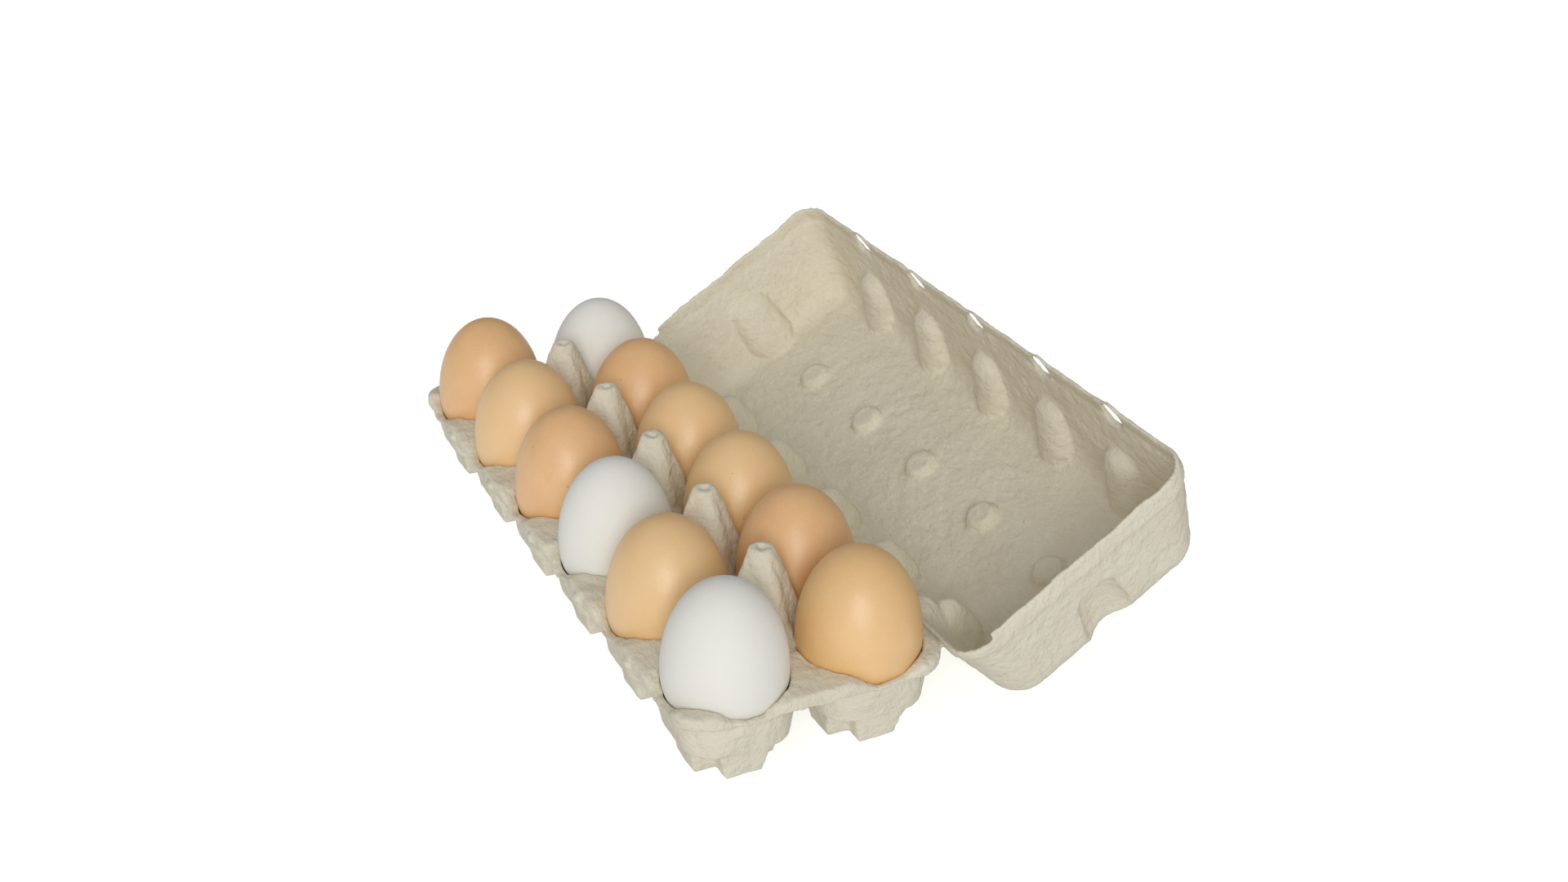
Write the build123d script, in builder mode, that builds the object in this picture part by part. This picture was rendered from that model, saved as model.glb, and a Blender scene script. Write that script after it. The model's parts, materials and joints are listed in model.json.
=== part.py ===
"""Moulded-pulp egg carton for a dozen eggs, standing open and full.

The carton is one pulp moulding in three regions: a tray of cups, a lid, and the thin web
that joins them along one long side and folds as the hinge. X runs along the carton, +Y points
to the hinge and +Z up. The origin is the middle of the tray on the surface it stands on.
All sizes are in millimetres.
"""

import os
from math import atan2, cos, degrees, radians, sin, sqrt

from build123d import *

# Cells
columns = 6
rows = 2
pitch_x = 48.3
pitch_y = 50.0

# Pulp
wall = 1.6
web_thickness = 1.2

# Eggs, blunt end down
egg_width = 44.0
egg_height = 57.0
egg_waist = 24.0
egg_fullness = 0.5523
egg_clearance = 0.5
seat_gap = 0.3

# Tray
rim_height = 31.2
rim_corner_radius = 14.0
lip_depth = 5.2
flange_margin_y = 0.7
mouth_corner_radius = 20.0
shoulder_half = 17.6
shoulder_corner_radius = 12.0
shoulder_height = 13.0
foot_reach = 14.7
foot_arm = 6.8
shoulder_reach = 17.0
shoulder_arm = 9.9
overlap = 0.5
dip_depth = 3.7
dip_radius = 28.0

# Posts between the cells
post_height = 61.2
post_base_radius = 11.2
post_tip_radius = 4.3
post_tip_round = 1.2
dimple_radius = 1.35
dimple_depth = 0.9

# Lock buttons on the front lip and the slots they enter
button_length = 5.6
button_width = 2.6
button_rise = 1.8
button_taper = 12.0
slot_clearance = 1.1
slot_depth = 0.9
slot_flare = 25.0

# Hinge and lid
hinge_gap = 2.4
web_gap = 0.2
hinge_height = 27.6
open_tilt = 32.0
lid_clearance_x = 0.4
lid_rim_drop = 3.0
lid_band = 4.0
lid_step = 0.5
lid_headroom = 1.1
lid_corner_radius = 13.0
lid_inset_y = 9.5
lid_inset_x = 7.5
lid_roof_round = 12.0
hinge_relief = 13.0

# Flutes in the lid's walls and the pads in its roof
flute_start = 24.0
flute_start_radius = 6.0
flute_end_radius = 8.5
end_flute_start = 20.0
end_flute_start_radius = 6.0
# The round cutters' seams and poles are turned into the open air, off the walls they cut
seam_turn = 90.0
pole_turn = 45.0
pad_radius = 6.0
pad_rise = 2.4
pad_taper = 35.0

# Places that follow from the sizes above
egg_radius = egg_width / 2
mouth_half = egg_radius + egg_clearance
tray_half_x = (columns - 1) * pitch_x / 2 + mouth_half + wall
tray_half_y = (rows - 1) * pitch_y / 2 + mouth_half + wall + flange_margin_y
lip_low = rim_height - lip_depth
seat_radius = sqrt(2) * (shoulder_arm - wall)
seat_sagitta = egg_waist * (1 - sqrt(1 - (seat_radius / egg_radius) ** 2))
egg_bottom = shoulder_height + seat_gap - seat_sagitta
egg_top = egg_bottom + egg_height

hinge_y = tray_half_y + hinge_gap
lid_half_x = tray_half_x + lid_clearance_x + wall
lid_width = 2 * hinge_y
roof_depth = max(egg_top, post_height) + lid_headroom + wall - hinge_height
button_height = hinge_height + slot_depth
post_xs = [(i - (columns - 2) / 2) * pitch_x for i in range(columns - 1)]
tilt = radians(open_tilt)


def lid_inset(depth, at_roof):
    """How far a lid wall's outer face stands in from the rim at a depth."""
    share = (depth - lid_band) / (roof_depth - lid_band)
    return lid_step + (at_roof - lid_step) * share


def cup_form(skin):
    """One cup as a solid: its outside with a skin of 0, its hollow with a skin of one wall."""
    floor = skin
    ledge = shoulder_height - wall + skin
    top = rim_height - overlap if skin == 0 else rim_height + overlap
    rise = (top - ledge) / (rim_height - ledge)
    side = shoulder_half + wall - skin
    mouth = mouth_half + wall - skin - (overlap if skin == 0 else 0)
    top_half = side + (mouth - side) * rise
    with BuildPart() as form:
        with BuildSketch(Plane.XY.offset(floor)):
            Rectangle(2 * (foot_reach - skin), 2 * (foot_arm - skin))
            Rectangle(2 * (foot_arm - skin), 2 * (foot_reach - skin))
        with BuildSketch(Plane.XY.offset(ledge + overlap)):
            Rectangle(2 * (shoulder_reach - skin), 2 * (shoulder_arm - skin))
            Rectangle(2 * (shoulder_arm - skin), 2 * (shoulder_reach - skin))
        loft(ruled=True)
        with BuildSketch(Plane.XY.offset(ledge)):
            RectangleRounded(2 * side, 2 * side, shoulder_corner_radius - skin)
        with BuildSketch(Plane.XY.offset(top)):
            RectangleRounded(2 * top_half, 2 * top_half, mouth_corner_radius)
        loft(ruled=True)
    return form.part


def flute(start, start_radius, at_roof, skin):
    """A tapering round groove up the outside of a wall whose rim stands at the local Y zero."""
    lean = atan2(at_roof - lid_step, roof_depth - lid_band)
    with BuildPart() as groove:
        with Locations((0, -lid_inset(start, at_roof), start)):
            Cone(
                start_radius + skin,
                flute_end_radius + skin,
                (roof_depth + wall - start) / cos(lean),
                rotation=(degrees(lean), 0, seam_turn),
                align=(Align.CENTER, Align.CENTER, Align.MIN),
            )
            Sphere(start_radius + skin, rotation=(pole_turn, 0, seam_turn))
    return groove.part


def lid_form(skin):
    """The lid as a solid: its outside with a skin of 0, its hollow with a skin of one wall.

    It stands on its rim: local X is its length, local -Y the hinge side, local Z its depth.
    """
    rim = -lid_rim_drop - (overlap if skin else 0)
    half_x = lid_half_x - skin
    half_y = lid_width / 2 - skin
    corner = lid_corner_radius - skin
    roof = roof_depth - skin
    roof_half_x = half_x - lid_inset(roof, lid_inset_x)
    roof_half_y = half_y - lid_inset(roof, lid_inset_y)
    long_flute = flute(flute_start, flute_start_radius, lid_inset_y, skin)
    end_flute = flute(end_flute_start, end_flute_start_radius, lid_inset_x, skin)
    with BuildPart() as form:
        with BuildSketch(Plane.XY.offset(rim)):
            RectangleRounded(2 * half_x, 2 * half_y, corner)
        extrude(amount=lid_band - rim)
        with BuildSketch(Plane.XY.offset(lid_band - overlap)):
            RectangleRounded(2 * (half_x - lid_step), 2 * (half_y - lid_step), corner)
        with BuildSketch(Plane.XY.offset(roof)):
            RectangleRounded(2 * roof_half_x, 2 * roof_half_y, corner)
        loft(ruled=True)
        fillet(form.edges().group_by(Axis.Z)[-1], lid_roof_round - skin)
        with BuildSketch(Plane.XY.offset(roof)):
            with Locations(*[(x, 0) for x in post_xs]):
                Circle(pad_radius + skin)
        extrude(amount=-pad_rise, taper=pad_taper, mode=Mode.SUBTRACT)
        for x in post_xs:
            with Locations((x, lid_width / 2, 0)):
                add(long_flute, mode=Mode.SUBTRACT)
            with Locations((x, -lid_width / 2, 0)):
                add(long_flute, rotation=(0, 0, 180), mode=Mode.SUBTRACT)
        with Locations((lid_half_x, 0, 0)):
            add(end_flute, rotation=(0, 0, -90), mode=Mode.SUBTRACT)
        with Locations((-lid_half_x, 0, 0)):
            add(end_flute, rotation=(0, 0, 90), mode=Mode.SUBTRACT)
    return form.part


cup_outside = cup_form(0)
cup_hollow = cup_form(wall)

with BuildPart() as tray:
    with BuildSketch(Plane.XY.offset(lip_low)):
        RectangleRounded(2 * tray_half_x, 2 * tray_half_y, rim_corner_radius)
    extrude(amount=lip_depth)
    fillet(tray.faces().sort_by(Axis.Z)[-1].edges(), wall / 2)
    with BuildSketch(Plane.XY.offset(lip_low)):
        RectangleRounded(
            2 * (tray_half_x - wall), 2 * (tray_half_y - wall), rim_corner_radius - wall
        )
    extrude(amount=lip_depth - wall, mode=Mode.SUBTRACT)
    with GridLocations(pitch_x, pitch_y, columns, rows):
        add(cup_outside)
    with Locations(*[(x, 0, rim_height - wall) for x in post_xs]):
        Cone(
            post_base_radius,
            post_tip_radius,
            post_height - rim_height + wall,
            align=(Align.CENTER, Align.CENTER, Align.MIN),
        )
    fillet(tray.edges().group_by(Axis.Z)[-1], post_tip_round)
    with Locations(*[(x, 0, rim_height - wall) for x in post_xs]):
        Cone(
            post_base_radius - wall,
            post_tip_radius - wall,
            post_height - rim_height,
            align=(Align.CENTER, Align.CENTER, Align.MIN),
            mode=Mode.SUBTRACT,
        )
    with Locations(*[(x, 0, post_height) for x in post_xs]):
        Cylinder(
            dimple_radius,
            dimple_depth,
            align=(Align.CENTER, Align.CENTER, Align.MAX),
            mode=Mode.SUBTRACT,
        )
    with GridLocations(pitch_x, pitch_y, columns, rows):
        add(cup_hollow, mode=Mode.SUBTRACT)
    dip_z = rim_height - dip_depth + dip_radius
    dip_reach = tray_half_y - (rows - 1) * pitch_y / 2
    front_cells = [((i - (columns - 1) / 2) * pitch_x, -tray_half_y, dip_z) for i in range(columns)]
    with Locations(*front_cells):
        Cylinder(dip_radius, dip_reach, rotation=(90, 0, 0), mode=Mode.SUBTRACT)
    end_cells = [
        (side * tray_half_x, (j - (rows - 1) / 2) * pitch_y, dip_z)
        for side in (-1, 1)
        for j in range(rows)
    ]
    with Locations(*end_cells):
        Cylinder(dip_radius, dip_reach, rotation=(0, 90, 0), mode=Mode.SUBTRACT)
    with BuildSketch(Plane.XZ.offset(tray_half_y - overlap)):
        with Locations(*[(x, button_height) for x in post_xs]):
            SlotOverall(button_length, button_width)
    extrude(amount=button_rise + overlap, taper=button_taper)
tray.part.label = "tray"

with BuildPart() as lid_moulding:
    add(lid_form(0))
    add(lid_form(wall), mode=Mode.SUBTRACT)
    with Locations((0, -lid_width / 2, -lid_rim_drop)):
        Box(
            2 * lid_half_x,
            2 * hinge_relief,
            lid_rim_drop,
            align=(Align.CENTER, Align.CENTER, Align.MIN),
            mode=Mode.SUBTRACT,
        )
    with BuildSketch(Plane.XZ.offset(-lid_width / 2 - overlap)):
        with Locations(*[(x, slot_depth) for x in post_xs]):
            SlotOverall(button_length + 2 * slot_clearance, button_width + 2 * slot_clearance)
    extrude(amount=2 * wall, taper=-slot_flare, mode=Mode.SUBTRACT)

# The open lid lies back from the hinge line, its free side raised by the tilt.
open_lid = Plane(
    origin=(
        0,
        hinge_y + lid_width / 2 * cos(tilt),
        hinge_height + lid_width / 2 * sin(tilt),
    ),
    x_dir=(-1, 0, 0),
    z_dir=(0, sin(tilt), -cos(tilt)),
)
with BuildPart(open_lid) as lid:
    add(lid_moulding.part)
lid.part.label = "lid"

with BuildPart() as hinge_web:
    with Locations((0, tray_half_y, lip_low)):
        Box(
            2 * (tray_half_x - rim_corner_radius),
            hinge_gap - web_gap,
            web_thickness,
            align=(Align.CENTER, Align.MIN, Align.MIN),
        )
hinge_web.part.label = "hinge_web"

with BuildPart() as egg_form:
    with BuildSketch(Plane.XZ):
        with BuildLine():
            waist = (egg_radius, egg_waist)
            pull = egg_fullness * egg_radius
            lower = (egg_radius, egg_waist * (1 - egg_fullness))
            upper = (egg_radius, egg_waist + (egg_height - egg_waist) * egg_fullness)
            Bezier((0, 0), (pull, 0), lower, waist)
            Bezier(waist, upper, (pull, egg_height), (0, egg_height))
            Line((0, egg_height), (0, 0))
        make_face()
    revolve(axis=Axis.Z)

eggs = []
for row, row_name in enumerate(("front", "hinge")):
    for column in range(columns):
        centre_x = (column - (columns - 1) / 2) * pitch_x
        centre_y = (row - (rows - 1) / 2) * pitch_y
        with BuildPart(Plane((centre_x, centre_y, egg_bottom))) as egg:
            add(egg_form.part)
        egg.part.label = f"egg_{row_name}_{column + 1}"
        eggs.append(egg.part)

os.makedirs("parts", exist_ok=True)
export_step(tray.part, "parts/tray.step")
export_step(lid.part, "parts/lid.step")
export_step(hinge_web.part, "parts/hinge_web.step")
for egg_part in eggs:
    export_step(egg_part, f"parts/{egg_part.label}.step")
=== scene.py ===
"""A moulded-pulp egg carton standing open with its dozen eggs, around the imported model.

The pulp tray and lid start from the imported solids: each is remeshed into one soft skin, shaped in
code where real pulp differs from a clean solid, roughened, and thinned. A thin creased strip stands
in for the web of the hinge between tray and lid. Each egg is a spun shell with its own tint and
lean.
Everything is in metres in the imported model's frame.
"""

from __future__ import annotations

import json
import logging
import math
from dataclasses import dataclass, field
from enum import Enum

import bmesh
import bpy
import numpy as np
from mathutils import Euler, Matrix, Vector
from mathutils.geometry import interpolate_bezier

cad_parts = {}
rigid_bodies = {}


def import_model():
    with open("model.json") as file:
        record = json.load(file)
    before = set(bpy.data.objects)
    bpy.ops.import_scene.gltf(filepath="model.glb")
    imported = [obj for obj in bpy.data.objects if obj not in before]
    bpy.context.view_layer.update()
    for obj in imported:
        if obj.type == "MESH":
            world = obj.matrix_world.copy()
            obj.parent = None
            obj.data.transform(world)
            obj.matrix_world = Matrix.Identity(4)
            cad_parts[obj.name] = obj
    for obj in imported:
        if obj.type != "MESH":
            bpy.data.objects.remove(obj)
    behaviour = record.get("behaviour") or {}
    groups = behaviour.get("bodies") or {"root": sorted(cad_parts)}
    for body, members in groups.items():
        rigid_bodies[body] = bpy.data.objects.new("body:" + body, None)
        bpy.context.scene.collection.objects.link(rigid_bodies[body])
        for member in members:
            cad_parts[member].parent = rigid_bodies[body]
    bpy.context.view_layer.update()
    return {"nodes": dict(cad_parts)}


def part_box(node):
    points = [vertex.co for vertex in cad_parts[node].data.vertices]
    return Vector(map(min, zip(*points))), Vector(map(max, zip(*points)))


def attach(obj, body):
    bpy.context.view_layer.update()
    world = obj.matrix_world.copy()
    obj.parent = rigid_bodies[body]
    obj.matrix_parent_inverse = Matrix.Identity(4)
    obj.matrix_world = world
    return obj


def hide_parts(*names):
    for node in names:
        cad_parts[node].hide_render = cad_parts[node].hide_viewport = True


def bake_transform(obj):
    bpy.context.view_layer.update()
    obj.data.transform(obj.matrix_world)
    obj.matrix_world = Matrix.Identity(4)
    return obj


LOG = logging.getLogger("egg_carton")
MM = 0.001

Triple = tuple[float, float, float]
Colour = Triple


def smooth_step(low: float, high: float, value: np.ndarray) -> np.ndarray:
    """A soft ramp from 0 at low to 1 at high."""
    share = np.clip((value - low) / (high - low), 0.0, 1.0)
    return share * share * (3.0 - 2.0 * share)


def bell(value: np.ndarray, width: float) -> np.ndarray:
    """A soft hump that is 1 at zero and fades out over the width."""
    return np.exp(-((value / width) ** 2))


def wander(along: np.ndarray, seed: float, length: float) -> np.ndarray:
    """A slow irregular wave along a line, between about -1 and 1.

    Args:
        along: Places along the line, in millimetres.
        seed: A number that makes this wave differ from the others.
        length: The wave's typical length, in millimetres.

    Returns:
        The wave's height at each place.
    """
    turn = 2.0 * math.pi * along / length
    return (
        0.5 * np.sin(turn + 1.7 * seed)
        + 0.3 * np.sin(1.87 * turn + 2.9 * seed)
        + 0.2 * np.sin(3.31 * turn + 4.3 * seed)
    )


class Shading:
    """A material's node tree, with short calls to add and join nodes."""

    def __init__(self, name: str) -> None:
        """Makes an empty material with a Principled shader and Object coordinates."""
        self.material = bpy.data.materials.new(name)
        self.material.use_nodes = True
        self.tree = self.material.node_tree
        self.tree.nodes.clear()
        self.shader = self.add("ShaderNodeBsdfPrincipled")
        output = self.add("ShaderNodeOutputMaterial")
        self.join(self.shader, "BSDF", output, "Surface")
        self.place = self.add("ShaderNodeTexCoord")

    def add(self, kind: str, **settings: object) -> bpy.types.Node:
        """Adds a node and sets its properties, or its inputs where the name is an input's."""
        node = self.tree.nodes.new(kind)
        for key, value in settings.items():
            if hasattr(node, key):
                setattr(node, key, value)
            else:
                node.inputs[key.replace("_", " ")].default_value = value
        return node

    def join(
        self,
        source: bpy.types.Node,
        output: str | int,
        target: bpy.types.Node,
        entry: str | int,
    ) -> None:
        """Joins one node's output to another's input."""
        self.tree.links.new(source.outputs[output], target.inputs[entry])

    def noise(
        self,
        scale: float,
        detail: float,
        stretch: Triple = (1.0, 1.0, 1.0),
        turn: Triple = (0.0, 0.0, 0.0),
    ) -> bpy.types.Node:
        """A noise pattern over Object coordinates.

        Args:
            scale: How many features there are to a metre.
            detail: How many finer layers it has.
            stretch: The pattern's scale along each axis.
            turn: The pattern's turn about each axis, in radians.

        Returns:
            The noise node.
        """
        mapping = self.add("ShaderNodeMapping")
        mapping.inputs["Scale"].default_value = stretch
        mapping.inputs["Rotation"].default_value = turn
        self.join(self.place, "Object", mapping, "Vector")
        pattern = self.add("ShaderNodeTexNoise", Scale=scale, Detail=detail, Roughness=0.6)
        self.join(mapping, "Vector", pattern, "Vector")
        return pattern

    def spots(self, scale: float, cut: float, soft: float) -> bpy.types.Node:
        """Small round spots scattered on the surface, 1 in a spot and 0 outside."""
        cells = self.add("ShaderNodeTexVoronoi", Scale=scale, Randomness=1.0)
        self.join(self.place, "Object", cells, "Vector")
        return self.ramp(cells, "Distance", cut, cut + soft, 1.0, 0.0)

    def ramp(
        self,
        source: bpy.types.Node,
        output: str | int,
        low: float,
        high: float,
        at_low: float = 0.0,
        at_high: float = 1.0,
    ) -> bpy.types.Node:
        """Turns a range of values into another, held at its ends."""
        node = self.add("ShaderNodeMapRange", clamp=True)
        node.inputs["From Min"].default_value = low
        node.inputs["From Max"].default_value = high
        node.inputs["To Min"].default_value = at_low
        node.inputs["To Max"].default_value = at_high
        self.join(source, output, node, "Value")
        return node

    def product(self, first: bpy.types.Node, second: bpy.types.Node) -> bpy.types.Node:
        """The product of two masks."""
        node = self.add("ShaderNodeMath", operation="MULTIPLY")
        self.join(first, 0, node, 0)
        self.join(second, 0, node, 1)
        return node

    def tint(
        self, below: bpy.types.Node | Colour, over: Colour, mask: bpy.types.Node
    ) -> bpy.types.Node:
        """Lays a colour over another colour or node, by a mask."""
        mix = self.add("ShaderNodeMix", data_type="RGBA", blend_type="MIX")
        factor, under, top = mix.inputs[0], mix.inputs[6], mix.inputs[7]
        self.tree.links.new(mask.outputs[0], factor)
        if isinstance(below, tuple):
            under.default_value = (*below, 1.0)
        else:
            self.tree.links.new(below.outputs[2], under)
        top.default_value = (*over, 1.0)
        return mix

    def bump(
        self, height: bpy.types.Node, distance: float, below: bpy.types.Node | None = None
    ) -> bpy.types.Node:
        """Raises the surface by a height of a given distance, on top of another bump."""
        node = self.add("ShaderNodeBump", Strength=1.0, Distance=distance)
        self.join(height, 0, node, "Height")
        if below is not None:
            self.join(below, "Normal", node, "Normal")
        return node

    def colour_from(self, mix: bpy.types.Node) -> None:
        """Feeds the shader's base colour."""
        self.tree.links.new(mix.outputs[2], self.shader.inputs["Base Color"])


@dataclass(frozen=True)
class PulpFinish:
    """Undyed recycled pulp: chalky, warm grey, rippled and felted with fibres."""

    pale: Colour = (0.810, 0.760, 0.618)
    dull: Colour = (0.765, 0.711, 0.567)
    bright: Colour = (0.860, 0.822, 0.695)
    roughness: float = 0.93

    def material(self, name: str) -> bpy.types.Material:
        """The finish as a material.

        Args:
            name: The material's name.

        Returns:
            The material.
        """
        shading = Shading(name)
        blotch = shading.ramp(shading.noise(55.0, 3.0), 0, 0.38, 0.66)
        felt = shading.noise(420.0, 5.0, (0.35, 1.0, 1.0), (0.2, 0.1, 0.5))
        felt_pale = shading.ramp(felt, 0, 0.55, 0.80, 0.0, 0.55)
        across = shading.noise(520.0, 4.0, (1.0, 0.3, 0.6), (0.5, 0.3, -0.4))
        across_dull = shading.ramp(across, 0, 0.56, 0.78, 0.0, 0.5)
        colour = shading.tint(self.pale, self.dull, blotch)
        colour = shading.tint(colour, self.bright, felt_pale)
        colour = shading.tint(colour, self.dull, across_dull)
        shading.colour_from(colour)
        bump = shading.bump(shading.noise(230.0, 3.0, (0.55, 1.0, 1.0)), 0.00150)
        bump = shading.bump(felt, 0.00028, bump)
        bump = shading.bump(across, 0.00020, bump)
        bump = shading.bump(shading.noise(1900.0, 3.0), 0.00007, bump)
        shading.join(bump, "Normal", shading.shader, "Normal")
        shading.shader.inputs["Roughness"].default_value = self.roughness
        shading.shader.inputs["Specular IOR Level"].default_value = 0.15
        return shading.material


class ShellColour(Enum):
    """The shells' colours, from deep brown to white: base, shade of the mottling, specks."""

    BROWN = ((0.860, 0.515, 0.235), (0.740, 0.420, 0.185), (0.420, 0.200, 0.080))
    TAN = ((0.885, 0.590, 0.285), (0.840, 0.525, 0.235), (0.480, 0.250, 0.100))
    AMBER = ((0.880, 0.555, 0.245), (0.810, 0.490, 0.205), (0.450, 0.220, 0.085))
    WHITE = ((0.890, 0.880, 0.820), (0.860, 0.850, 0.790), (0.780, 0.760, 0.700))

    @property
    def slot(self) -> str:
        """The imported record's slot for this colour."""
        if self is ShellColour.WHITE:
            return "white_shell"
        return "brown_shell" if self is ShellColour.BROWN else "tan_shell"


@dataclass(frozen=True)
class ShellFinish:
    """An egg's shell: satin, faintly mottled, pricked with fine pores and a few specks."""

    colour: ShellColour
    speckled: bool = True

    def material(self, name: str) -> bpy.types.Material:
        """The finish as a material.

        Args:
            name: The material's name.

        Returns:
            The material.
        """
        base, shade, speck = self.colour.value
        plain = self.colour is ShellColour.WHITE
        shading = Shading(name)
        mottle = shading.ramp(shading.noise(95.0, 4.0), 0, 0.40, 0.72, 0.0, 0.45)
        grain = shading.ramp(shading.noise(1100.0, 2.0), 0, 0.50, 0.75, 0.0, 0.25)
        pores = shading.spots(950.0, 0.10, 0.16)
        pore_tone = shading.ramp(pores, 0, 0.0, 1.0, 0.0, 0.22)
        colour = shading.tint(base, shade, mottle)
        colour = shading.tint(colour, shade, grain)
        colour = shading.tint(colour, shade, pore_tone)
        if self.speckled and not plain:
            dots = shading.spots(190.0, 0.035, 0.03)
            where = shading.ramp(shading.noise(90.0, 1.0), 0, 0.56, 0.62)
            colour = shading.tint(colour, speck, shading.product(dots, where))
        shading.colour_from(colour)
        bump = shading.bump(shading.noise(260.0, 3.0), 0.00010)
        bump = shading.bump(shading.noise(1500.0, 2.0), 0.00004, bump)
        sunk = shading.ramp(pores, 0, 0.0, 1.0, 1.0, 0.0)
        bump = shading.bump(sunk, 0.00003, bump)
        shading.join(bump, "Normal", shading.shader, "Normal")
        shading.shader.inputs["Roughness"].default_value = 0.62 if plain else 0.44
        shading.shader.inputs["Specular IOR Level"].default_value = 0.3 if plain else 1.0
        return shading.material


def stand_in(name: str, mesh: bpy.types.Mesh) -> bpy.types.Object:
    """Puts a mesh into the scene as a new object at the origin."""
    piece = bpy.data.objects.new(name, mesh)
    bpy.context.scene.collection.objects.link(piece)
    return piece


def bake_modifiers(piece: bpy.types.Object) -> None:
    """Replaces a piece's mesh by what its modifiers make of it, and drops them."""
    graph = bpy.context.evaluated_depsgraph_get()
    made = bpy.data.meshes.new_from_object(piece.evaluated_get(graph), depsgraph=graph)
    old = piece.data
    piece.modifiers.clear()
    piece.data = made
    bpy.data.meshes.remove(old)


def roughen(piece: bpy.types.Object, label: str, grain: float, height: float) -> None:
    """Adds an uneven surface to a dense mesh.

    Args:
        piece: The piece, whose modifiers take the change.
        label: A name for the pattern.
        grain: The pattern's size, in metres.
        height: The whole height of the unevenness, in metres.
    """
    pattern = bpy.data.textures.new(label, type="CLOUDS")
    pattern.noise_scale = grain
    pattern.noise_depth = 2
    pattern.noise_basis = "BLENDER_ORIGINAL"
    change = piece.modifiers.new(label, "DISPLACE")
    change.texture = pattern
    change.texture_coords = "LOCAL"
    change.direction = "NORMAL"
    change.mid_level = 0.5
    change.strength = height


@dataclass
class PulpRegion:
    """One region of the pulp moulding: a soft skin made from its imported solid."""

    node: str
    name: str
    voxel: float = 0.80 * MM
    soften: int = 3
    faces: int = 190_000
    dent_grain: float = 9.0 * MM
    dents: float = 0.55 * MM
    felt_grain: float = 2.8 * MM
    felt: float = 0.32 * MM

    def places(self, mesh: bpy.types.Mesh) -> np.ndarray:
        """Every vertex of a mesh, in millimetres."""
        flat = np.empty(len(mesh.vertices) * 3, np.float32)
        mesh.vertices.foreach_get("co", flat)
        return flat.reshape(-1, 3).astype(float) / MM

    def shape(self, at: np.ndarray) -> np.ndarray:
        """Moves the skin's points.

        Args:
            at: The points, in millimetres.

        Returns:
            Where each point goes, in millimetres.
        """
        return at

    def build(self, nodes: dict[str, bpy.types.Object]) -> bpy.types.Object:
        """Makes the region's mesh.

        Args:
            nodes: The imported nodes.

        Returns:
            The new piece, at the origin.
        """
        form = bmesh.new()
        form.from_mesh(nodes[self.node].data)
        bmesh.ops.remove_doubles(form, verts=form.verts, dist=0.002 * MM)
        mesh = bpy.data.meshes.new(self.name)
        form.to_mesh(mesh)
        form.free()
        piece = stand_in(self.name, mesh)
        skin = piece.modifiers.new("skin", "REMESH")
        skin.mode = "VOXEL"
        skin.voxel_size = self.voxel
        soft = piece.modifiers.new("soft", "SMOOTH")
        soft.factor = 0.5
        soft.iterations = self.soften
        bake_modifiers(piece)
        moved = self.shape(self.places(piece.data)) * MM
        piece.data.vertices.foreach_set("co", moved.astype(np.float32).ravel())
        piece.data.update()
        roughen(piece, f"{self.name}_dents", self.dent_grain, self.dents)
        roughen(piece, f"{self.name}_felt", self.felt_grain, self.felt)
        triangles = sum(len(face.vertices) - 2 for face in piece.data.polygons)
        if triangles > self.faces:
            thin = piece.modifiers.new("thin", "DECIMATE")
            thin.ratio = self.faces / triangles
        bake_modifiers(piece)
        for face in piece.data.polygons:
            face.use_smooth = True
        return piece

    def dress(self, piece: bpy.types.Object, pulp: bpy.types.Material, body: str) -> None:
        """Gives the region its finish and its place on a body."""
        piece.data.materials.clear()
        piece.data.materials.append(pulp)
        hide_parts(self.node)
        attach(piece, body)
        LOG.info("%s: %d faces", piece.name, len(piece.data.polygons))


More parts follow.
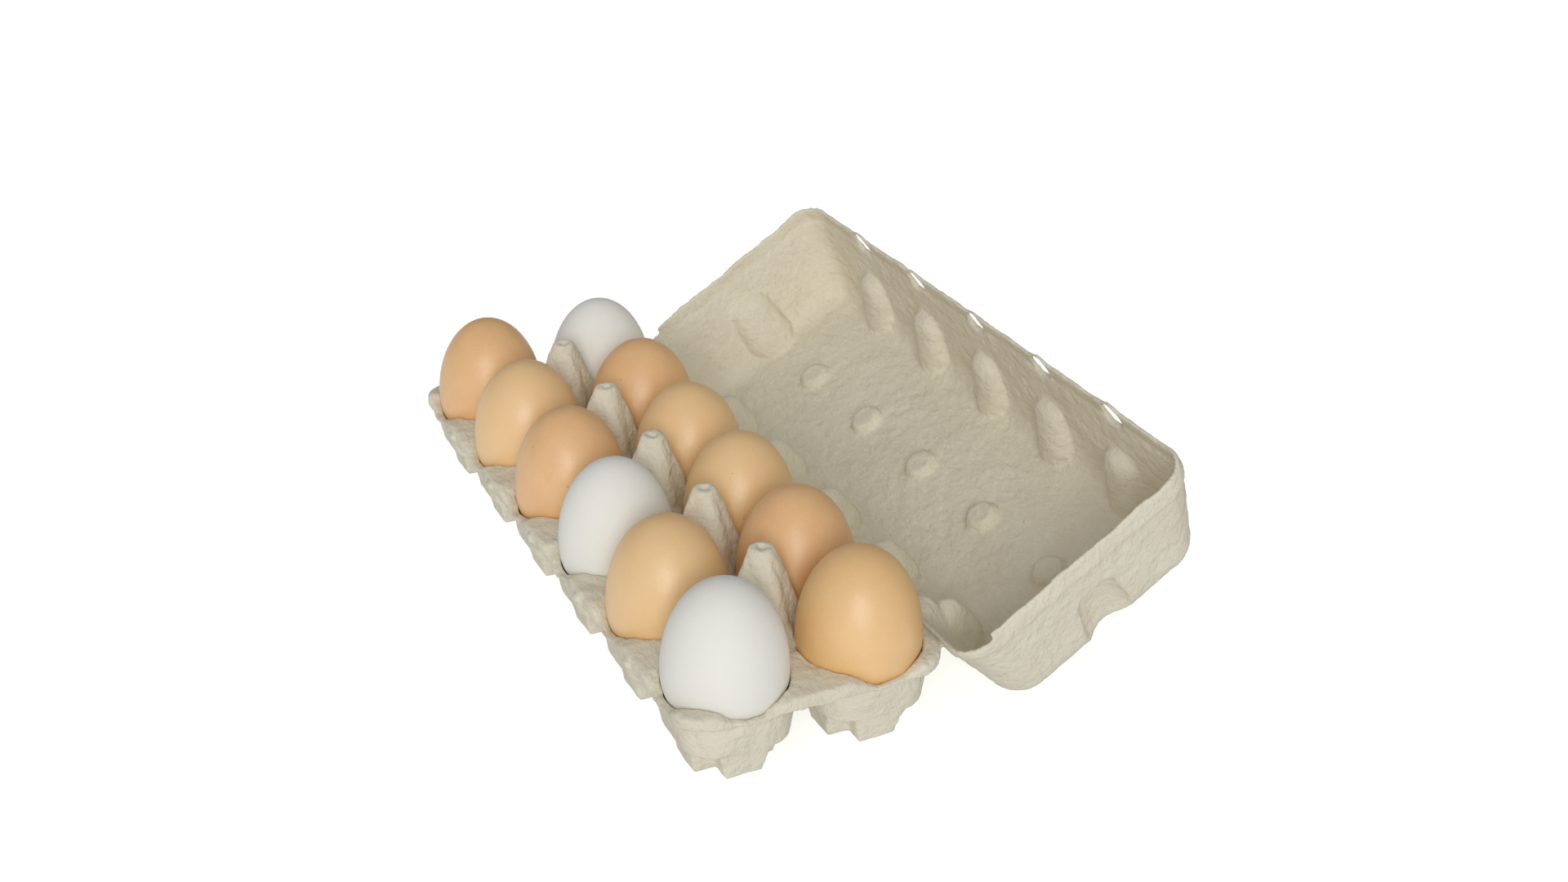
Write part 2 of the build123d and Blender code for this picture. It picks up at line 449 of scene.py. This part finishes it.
@dataclass
class Tray(PulpRegion):
    """The tray: twelve cups hung from a flange, with five hollow posts between them."""

    pitch: float = 48.3
    pitch_y: float = 50.0
    mouth: float = 22.5
    mouth_corner: float = 23.5
    mouth_round: float = 22.1
    flange_top: float = 31.2
    lip_low: float = 26.0
    post_top: float = 61.2
    post_tip: float = 4.3
    post_base: float = 11.2
    half_length: float = 144.85
    half_width: float = 49.8
    post_spread: float = 2.0
    post_flare: float = 5.0
    post_ripple: float = 0.30
    post_fibre: float = 0.28
    dimple: float = 1.0
    rim_wave: float = 0.45
    lip_wave: float = 0.7
    front_wave: float = 0.35
    front_dip: float = 1.3
    end_dip: float = 1.0

    def shape(self, at: np.ndarray) -> np.ndarray:
        """Flares the posts' feet between the eggs, and lets the lip and rims run unevenly."""
        out = self.flare_posts(at)
        out = self.close_mouths(out)
        return self.wave_lip(out)

    def flare_posts(self, at: np.ndarray) -> np.ndarray:
        """Spreads each post into four soft ridges at its foot, and presses a dimple in its tip."""
        out = at.copy()
        foot = self.flange_top - 1.6
        for place in range(-2, 3):
            dx = at[:, 0] - place * self.pitch
            dy = at[:, 1]
            reach = np.hypot(dx, dy)
            turn = np.arctan2(dy, dx)
            rise = np.clip((at[:, 2] - foot) / (self.post_top - foot), 0.0, 1.0)
            cone = self.post_base + (self.post_tip - self.post_base) * rise
            ridge = np.cos(2.0 * turn) ** 2
            spread = self.post_spread * np.sin(np.pi * rise) * (0.30 + 0.70 * ridge)
            flare = self.post_flare * ridge * (1.0 - rise) ** 2.4
            uneven = self.post_ripple * wander(at[:, 2] + 9.0 * turn, place + 3.0, 13.0)
            uneven += self.post_fibre * wander(11.0 * turn + 0.35 * at[:, 2], place + 6.0, 9.0)
            near = 1.0 - smooth_step(0.0, 7.0, np.abs(reach - cone) - 1.5)
            near *= smooth_step(foot - 1.0, foot + 3.0, at[:, 2])
            near *= (reach < 24.0) * smooth_step(0.5, 3.0, reach)
            below_tip = 1.0 - smooth_step(self.post_top - 5.0, self.post_top - 1.0, at[:, 2])
            move = (spread + flare + uneven * below_tip) * near
            safe = np.maximum(reach, 0.01)
            out[:, 0] += move * dx / safe
            out[:, 1] += move * dy / safe
            tip = smooth_step(self.post_top - 2.6, self.post_top - 1.0, at[:, 2])
            out[:, 2] -= self.dimple * tip * bell(reach, 1.7)
        return out

    def close_mouths(self, at: np.ndarray) -> np.ndarray:
        """Draws the corners of each mouth in round its egg, and lets its rim run unevenly."""
        out = at.copy()
        for column in range(6):
            for row in (-1, 1):
                dx = at[:, 0] - (column - 2.5) * self.pitch
                dy = at[:, 1] - row * self.pitch_y / 2
                reach = np.maximum(np.hypot(dx, dy), 0.01)
                straight = self.mouth / np.maximum(np.abs(dx), np.abs(dy)) * reach
                corner = np.minimum(straight, self.mouth_corner)
                gap = corner - self.mouth_round
                height = smooth_step(20.0, 27.0, at[:, 2])
                height *= 1.0 - smooth_step(self.flange_top + 1.0, self.flange_top + 4.0, at[:, 2])
                near = 1.0 - smooth_step(0.0, 6.0, np.abs(reach - corner) - 0.8)
                turn = np.arctan2(dy, dx)
                pull = -np.clip(gap, 0.0, 3.0) * near * height
                out[:, 0] += pull * dx / reach
                out[:, 1] += pull * dy / reach
                rim = (1.0 - smooth_step(0.0, 3.0, np.abs(reach - corner) - 0.6)) * height
                rim *= smooth_step(24.5, 27.5, at[:, 2])
                seed = column + 2.0 * row
                out[:, 2] += self.rim_wave * rim * wander(22.0 * turn, seed, 21.0)
        return out

    def wave_lip(self, at: np.ndarray) -> np.ndarray:
        """Lets the lip's lower edge run unevenly, and dips the flange beside each egg."""
        out = at.copy()
        around = at[:, 0] + 1.3 * at[:, 1]
        beside = np.maximum(
            smooth_step(self.half_length - 6.0, self.half_length - 2.0, np.abs(at[:, 0])),
            smooth_step(self.half_width - 5.0, self.half_width - 2.0, np.abs(at[:, 1])),
        )
        low = 1.0 - smooth_step(self.lip_low, self.lip_low + 4.0, at[:, 2])
        low *= smooth_step(self.lip_low - 4.0, self.lip_low - 1.0, at[:, 2])
        out[:, 2] += self.lip_wave * beside * low * wander(around, 2.0, 23.0)
        front = smooth_step(-30.0, -44.0, at[:, 1]) * smooth_step(22.0, 28.0, at[:, 2])
        out[:, 2] += self.front_wave * front * wander(at[:, 0], 5.0, 19.0)
        under_egg = 0.5 - 0.5 * np.cos(2.0 * math.pi * at[:, 0] / self.pitch)
        out[:, 2] -= self.front_dip * front * under_egg
        end = smooth_step(126.0, 140.0, np.abs(at[:, 0])) * smooth_step(22.0, 28.0, at[:, 2])
        beside_egg = 0.5 - 0.5 * np.cos(2.0 * math.pi * at[:, 1] / self.pitch_y)
        out[:, 2] -= self.end_dip * end * beside_egg * (1.0 - front)
        return out


@dataclass
class Lid(PulpRegion):
    """The lid: a fluted tub lying back from the hinge."""

    tilt: float = math.radians(32.0)
    hinge_y: float = 52.2
    hinge_z: float = 27.6
    width: float = 104.4
    half_length: float = 146.85
    roof: float = 41.7
    pitch: float = 48.3
    felt: float = 0.50 * MM
    rim_wave: float = 0.75
    end_wave: float = 0.55
    roof_dish: float = 0.5
    slot_xs: tuple[float, ...] = (-96.6, -48.3, 0.0, 48.3, 96.6)
    slot_depth: float = 0.9
    slot_half: float = 3.9
    slot_swell: float = 1.6
    slot_aspect: float = 1.6
    flute_stretch: float = 0.55
    flute_width: float = 10.0
    lobe: float = 6.5
    lobe_width: float = 8.0
    pad_rise: float = 1.6
    end_flute_stretch: float = 0.6
    end_flute_width: float = 11.0

    def shape(self, at: np.ndarray) -> np.ndarray:
        """Waves the rim, dishes the roof, and swells the flutes, slots and pads."""
        across = np.array([0.0, math.cos(self.tilt), math.sin(self.tilt)])
        deep = np.array([0.0, math.sin(self.tilt), -math.cos(self.tilt)])
        from_hinge = at - np.array([0.0, self.hinge_y, self.hinge_z])
        x, u, depth = at[:, 0], from_hinge @ across, from_hinge @ deep
        roof = smooth_step(self.roof - 8.0, self.roof - 1.0, depth)
        out = at + np.outer(self.waves(x, u, depth) - self.dish(x, u) * roof, deep)
        for place in self.slot_xs:
            along, inward, deeper = self.swell(x - place, u, depth, roof)
            out[:, 0] += along
            out += np.outer(inward, across) + np.outer(deeper, deep)
        return out + np.outer(self.end_flutes(x, u, depth), across)

    def waves(self, x: np.ndarray, u: np.ndarray, depth: np.ndarray) -> np.ndarray:
        """How far the free rim and the end rims run off straight, in the lid's depth."""
        rim = 1.0 - smooth_step(-2.0, 7.0, depth)
        far = smooth_step(self.width - 22.0, self.width - 4.0, u)
        ends = smooth_step(self.half_length - 12.0, self.half_length - 3.0, np.abs(x))
        wave = self.rim_wave * rim * far * wander(x, 1.0, 41.0)
        return wave + self.end_wave * rim * ends * wander(u, 4.0 + np.sign(x), 33.0)

    def dish(self, x: np.ndarray, u: np.ndarray) -> np.ndarray:
        """How far the roof sags and lifts by turns along its length."""
        middle = bell(u - self.width / 2, 26.0)
        return self.roof_dish * middle * np.cos(x / self.pitch * math.pi)

    def swell(
        self, dx: np.ndarray, u: np.ndarray, depth: np.ndarray, roof: np.ndarray
    ) -> tuple[np.ndarray, np.ndarray, np.ndarray]:
        """Moves one slot's edge, its two flutes and its pad.

        Args:
            dx: How far each point is past the slot, along the lid.
            u: How far each point is from the hinge, across the lid.
            depth: How deep each point is in the lid.
            roof: How much each point is on the roof, from 0 to 1.

        Returns:
            The moves along, across and into the lid's depth.
        """
        wall = smooth_step(self.width - 9.0, self.width - 4.0, u)
        dd = self.slot_aspect * (depth - self.slot_depth)
        reach = np.maximum(np.hypot(dx, dd), 0.01)
        push = self.slot_swell * wall * bell(reach - self.slot_half, 3.0)
        far = smooth_step(self.width - 30.0, self.width - 16.0, u)
        low = smooth_step(7.0, 14.0, depth) * (1.0 - smooth_step(34.0, 42.0, depth))
        widen = self.flute_stretch * dx * bell(dx, self.flute_width) * low * far
        along = push * dx / reach + widen
        by_hinge = 1.0 - smooth_step(10.0, 24.0, u)
        lobe = bell(dx, self.lobe_width) * by_hinge * smooth_step(5.0, 11.0, depth)
        inward = self.lobe * lobe * (1.0 - roof)
        on_pad = 1.0 - smooth_step(4.5, 7.5, np.hypot(dx, u - self.width / 2))
        deeper = push * dd / reach - self.pad_rise * roof * on_pad
        return along, inward, deeper

    def end_flutes(self, x: np.ndarray, u: np.ndarray, depth: np.ndarray) -> np.ndarray:
        """How far the flutes in the end walls widen, across the lid."""
        ends = smooth_step(self.half_length - 30.0, self.half_length - 14.0, np.abs(x))
        low = smooth_step(5.0, 12.0, depth) * (1.0 - smooth_step(34.0, 42.0, depth))
        du = u - self.width / 2
        return self.end_flute_stretch * du * bell(du, self.end_flute_width) * low * ends


@dataclass
class HingeWeb:
    """The thin web of pulp that joins tray and lid and folds as the hinge."""

    name: str = "pulp_hinge_web"
    half_length: float = 130.5
    start_y: float = 48.6
    end_y: float = 53.3
    height: float = 26.7
    thickness: float = 1.1
    crease: float = 0.21
    ripple: float = 0.16
    fibre: float = 0.12
    steps_x: int = 220
    steps_y: int = 10

    def build(self) -> bpy.types.Object:
        """Makes the web as a thin creased strip.

        Returns:
            The new piece, at the origin.
        """
        form = bmesh.new()
        bmesh.ops.create_grid(form, x_segments=self.steps_x, y_segments=self.steps_y, size=1.0)
        middle = (self.start_y + self.end_y) / 2
        half = (self.end_y - self.start_y) / 2
        for vert in form.verts:
            x = vert.co.x * self.half_length
            y = middle + vert.co.y * half
            crease = self.crease * math.cos(vert.co.y * math.pi)
            ripple = self.ripple * math.sin(x / 2.9)
            ripple += self.fibre * math.sin(x / 1.3 + 2.0 * vert.co.y)
            vert.co = Vector((x, y, self.height - crease + ripple)) * MM
        bmesh.ops.recalc_face_normals(form, faces=form.faces)
        bmesh.ops.solidify(form, geom=form.faces[:], thickness=self.thickness * MM)
        mesh = bpy.data.meshes.new(self.name)
        form.to_mesh(mesh)
        form.free()
        for face in mesh.polygons:
            face.use_smooth = True
        return stand_in(self.name, mesh)

    def dress(self, piece: bpy.types.Object, pulp: bpy.types.Material) -> None:
        """Gives the web its finish and hides the imported web."""
        piece.data.materials.append(pulp)
        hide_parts("hinge_web")
        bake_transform(piece)
        LOG.info("%s: %d faces", piece.name, len(piece.data.polygons))


@dataclass
class Egg:
    """One egg, blunt end down, with its own slight lean, size and tint."""

    node: str
    colour: ShellColour
    lean: float = 0.0
    heading: float = 0.0
    slim: float = 1.0
    waist_share: float = 24.0 / 57.0
    fullness: float = 0.5523
    steps: int = 80
    rings: int = 36

    def profile(self, radius: float, height: float) -> list[Vector]:
        """Half the egg's outline, from the blunt pole to the narrow one."""
        waist = height * self.waist_share
        pull = self.fullness * radius
        lower = Vector((radius, 0, waist * (1 - self.fullness)))
        upper = Vector((radius, 0, waist + (height - waist) * self.fullness))
        middle = Vector((radius, 0, waist))
        bottom, top = Vector((0, 0, 0)), Vector((0, 0, height))
        rise = interpolate_bezier(bottom, Vector((pull, 0, 0)), lower, middle, self.rings)
        fall = interpolate_bezier(middle, upper, Vector((pull, 0, height)), top, self.rings)
        return rise + fall[1:]

    def build(self) -> bpy.types.Object:
        """Spins the egg's outline and sets it in its cup.

        Returns:
            The new piece, at the origin.
        """
        low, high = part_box(self.node)
        radius = (high.x - low.x) / 2 * self.slim
        height = high.z - low.z
        form = bmesh.new()
        verts = [form.verts.new(point) for point in self.profile(radius, height)]
        edges = [form.edges.new(pair) for pair in zip(verts, verts[1:])]
        bmesh.ops.spin(
            form, geom=verts + edges, cent=(0, 0, 0), axis=(0, 0, 1), dvec=(0, 0, 0),
            angle=2 * math.pi, steps=self.steps, use_merge=True,
        )
        bmesh.ops.remove_doubles(form, verts=form.verts, dist=0.01 * MM)
        bmesh.ops.recalc_face_normals(form, faces=form.faces)
        pivot = Matrix.Translation(Vector((0, 0, height * self.waist_share)))
        tip = Euler((self.lean, 0, self.heading), "XYZ").to_matrix().to_4x4()
        centre = Vector(((low.x + high.x) / 2, (low.y + high.y) / 2, low.z))
        turn = Matrix.Rotation(self.heading, 4, "Z")
        place = Matrix.Translation(centre) @ turn @ pivot @ tip @ pivot.inverted()
        bmesh.ops.transform(form, matrix=place, verts=form.verts)
        mesh = bpy.data.meshes.new(f"{self.node}_shell")
        form.to_mesh(mesh)
        form.free()
        for face in mesh.polygons:
            face.use_smooth = True
        return stand_in(f"{self.node}_shell", mesh)

    def dress(self, piece: bpy.types.Object, finish: bpy.types.Material) -> None:
        """Gives the egg its shell and its place on its body."""
        piece.data.materials.append(finish)
        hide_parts(self.node)
        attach(piece, self.node)
        LOG.info("%s: %s", piece.name, self.colour.name.lower())


@dataclass
class Studio:
    """A pale floor, a soft room, a key and a fill lamp, and the camera."""

    azimuth: float = math.radians(64.20)
    elevation: float = math.radians(26.22)
    place: Triple = (0.6484, -0.2583, 0.4011)
    lens: float = 47.13
    room: float = 0.43
    room_slope: float = 0.21
    bright_side: Triple = (0.84, -0.52, -0.12)
    floor_glow: float = 0.60
    key_power: float = 1.05
    key_spread: float = math.radians(24.0)
    key_from: Triple = (0.86, -0.38, 0.38)
    fill_power: float = 0.12
    fill_spread: float = math.radians(50.0)
    fill_from: Triple = (0.25, -0.92, 0.30)

    def back(self) -> Vector:
        """The direction from the object towards the camera."""
        flat = math.cos(self.elevation)
        return Vector(
            (math.sin(self.azimuth) * flat, -math.cos(self.azimuth) * flat,
             math.sin(self.elevation))
        )

    def build(self) -> None:
        """Makes the room, the lamps and the camera."""
        self.lay_floor()
        self.light_room()
        self.hang_lamp("soft_key", self.key_power, self.key_spread, self.key_from)
        self.hang_lamp("soft_fill", self.fill_power, self.fill_spread, self.fill_from)
        self.set_camera()

    def lay_floor(self) -> None:
        """Lays a wide pale floor just under the object."""
        form = bmesh.new()
        bmesh.ops.create_grid(form, x_segments=4, y_segments=4, size=6.0)
        bmesh.ops.translate(form, vec=(0, 0, -0.2 * MM), verts=form.verts)
        mesh = bpy.data.meshes.new("pale_floor")
        form.to_mesh(mesh)
        form.free()
        floor = stand_in("pale_floor", mesh)
        shading = Shading("pale_floor")
        shading.shader.inputs["Base Color"].default_value = (0.90, 0.90, 0.90, 1.0)
        shading.shader.inputs["Roughness"].default_value = 1.0
        shading.shader.inputs["Specular IOR Level"].default_value = 0.0
        shading.shader.inputs["Emission Color"].default_value = (1.0, 1.0, 1.0, 1.0)
        shading.shader.inputs["Emission Strength"].default_value = self.floor_glow
        mesh.materials.append(shading.material)
        floor.visible_diffuse = False

    def light_room(self) -> None:
        """Fills the room with soft light that is stronger from one side."""
        world = bpy.data.worlds.new("soft_room")
        world.use_nodes = True
        tree = world.node_tree
        sky = tree.nodes["Background"]
        sky.inputs["Color"].default_value = (1.0, 1.0, 1.0, 1.0)
        place = tree.nodes.new("ShaderNodeTexCoord")
        along = tree.nodes.new("ShaderNodeVectorMath")
        along.operation = "DOT_PRODUCT"
        along.inputs[1].default_value = Vector(self.bright_side).normalized()
        tree.links.new(place.outputs["Generated"], along.inputs[0])
        strength = tree.nodes.new("ShaderNodeMapRange")
        strength.inputs["From Min"].default_value = -1.0
        strength.inputs["From Max"].default_value = 1.0
        strength.inputs["To Min"].default_value = self.room - self.room_slope
        strength.inputs["To Max"].default_value = self.room + self.room_slope
        tree.links.new(along.outputs["Value"], strength.inputs["Value"])
        tree.links.new(strength.outputs["Result"], sky.inputs["Strength"])
        bpy.context.scene.world = world

    def hang_lamp(
        self, name: str, power: float, spread: float, side: Triple
    ) -> None:
        """Hangs one far, soft lamp.

        Args:
            name: The lamp's name.
            power: The light that falls square to it, in watts to a square metre.
            spread: How wide it looks from the object, in radians.
            side: The direction from the object towards it.
        """
        lamp = bpy.data.lights.new(name, "SUN")
        lamp.energy = power
        lamp.angle = spread
        light = bpy.data.objects.new(name, lamp)
        bpy.context.scene.collection.objects.link(light)
        back = Vector(side).normalized()
        light.matrix_world = self.facing(back, back)

    def set_camera(self) -> None:
        """Places the camera."""
        data = bpy.data.cameras.new("camera")
        data.sensor_width = 36.0
        data.lens = self.lens
        data.clip_start = 0.01
        camera = bpy.data.objects.new("camera", data)
        bpy.context.scene.collection.objects.link(camera)
        camera.matrix_world = self.facing(Vector(self.place), self.back())
        scene = bpy.context.scene
        scene.camera = camera
        scene.view_settings.view_transform = "Standard"

    @staticmethod
    def facing(spot: Vector, back: Vector) -> Matrix:
        """A matrix at a spot that looks away from the back direction, level with the floor."""
        side = Vector((0, 0, 1)).cross(back).normalized()
        up = back.cross(side)
        turn = Matrix((side, up, back)).transposed().to_4x4()
        return Matrix.Translation(spot) @ turn


@dataclass
class EggCarton:
    """The whole object: pulp regions, hinge and eggs."""

    tray: Tray = field(default_factory=lambda: Tray("tray", "pulp_tray"))
    lid: Lid = field(default_factory=lambda: Lid("lid", "pulp_lid"))
    web: HingeWeb = field(default_factory=HingeWeb)
    front_row: tuple[ShellColour, ...] = (
        ShellColour.BROWN, ShellColour.TAN, ShellColour.BROWN,
        ShellColour.WHITE, ShellColour.TAN, ShellColour.WHITE,
    )
    hinge_row: tuple[ShellColour, ...] = (
        ShellColour.WHITE, ShellColour.BROWN, ShellColour.TAN,
        ShellColour.TAN, ShellColour.BROWN, ShellColour.AMBER,
    )

    def eggs(self) -> list[Egg]:
        """The twelve eggs, each with its own lean, heading and girth."""
        made = []
        for row, colours in (("front", self.front_row), ("hinge", self.hinge_row)):
            for place, colour in enumerate(colours, start=1):
                odd = len(made)
                made.append(
                    Egg(
                        node=f"egg_{row}_{place}",
                        colour=colour,
                        lean=math.radians(0.7 * math.sin(3.1 * odd + 0.5)),
                        heading=2.4 * odd,
                        slim=0.988 + 0.010 * math.sin(1.9 * odd),
                    )
                )
        return made

    def build(self, nodes: dict[str, bpy.types.Object]) -> None:
        """Builds and dresses every piece.

        Args:
            nodes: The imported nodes.
        """
        pulp = PulpFinish().material("moulded_pulp")
        tray = self.tray.build(nodes)
        self.tray.dress(tray, pulp, "tray")
        lid = self.lid.build(nodes)
        self.lid.dress(lid, pulp, "lid")
        self.web.dress(self.web.build(), pulp)
        shells = {c: ShellFinish(c).material(f"shell_{c.name.lower()}") for c in ShellColour}
        for egg in self.eggs():
            egg.dress(egg.build(), shells[egg.colour])


def main() -> None:
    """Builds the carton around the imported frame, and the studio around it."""
    logging.basicConfig(level=logging.INFO, format="%(name)s: %(message)s")
    for thing in list(bpy.data.objects):
        bpy.data.objects.remove(thing)
    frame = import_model()
    EggCarton().build(frame["nodes"])
    Studio().build()


if __name__ == "__main__":
    main()
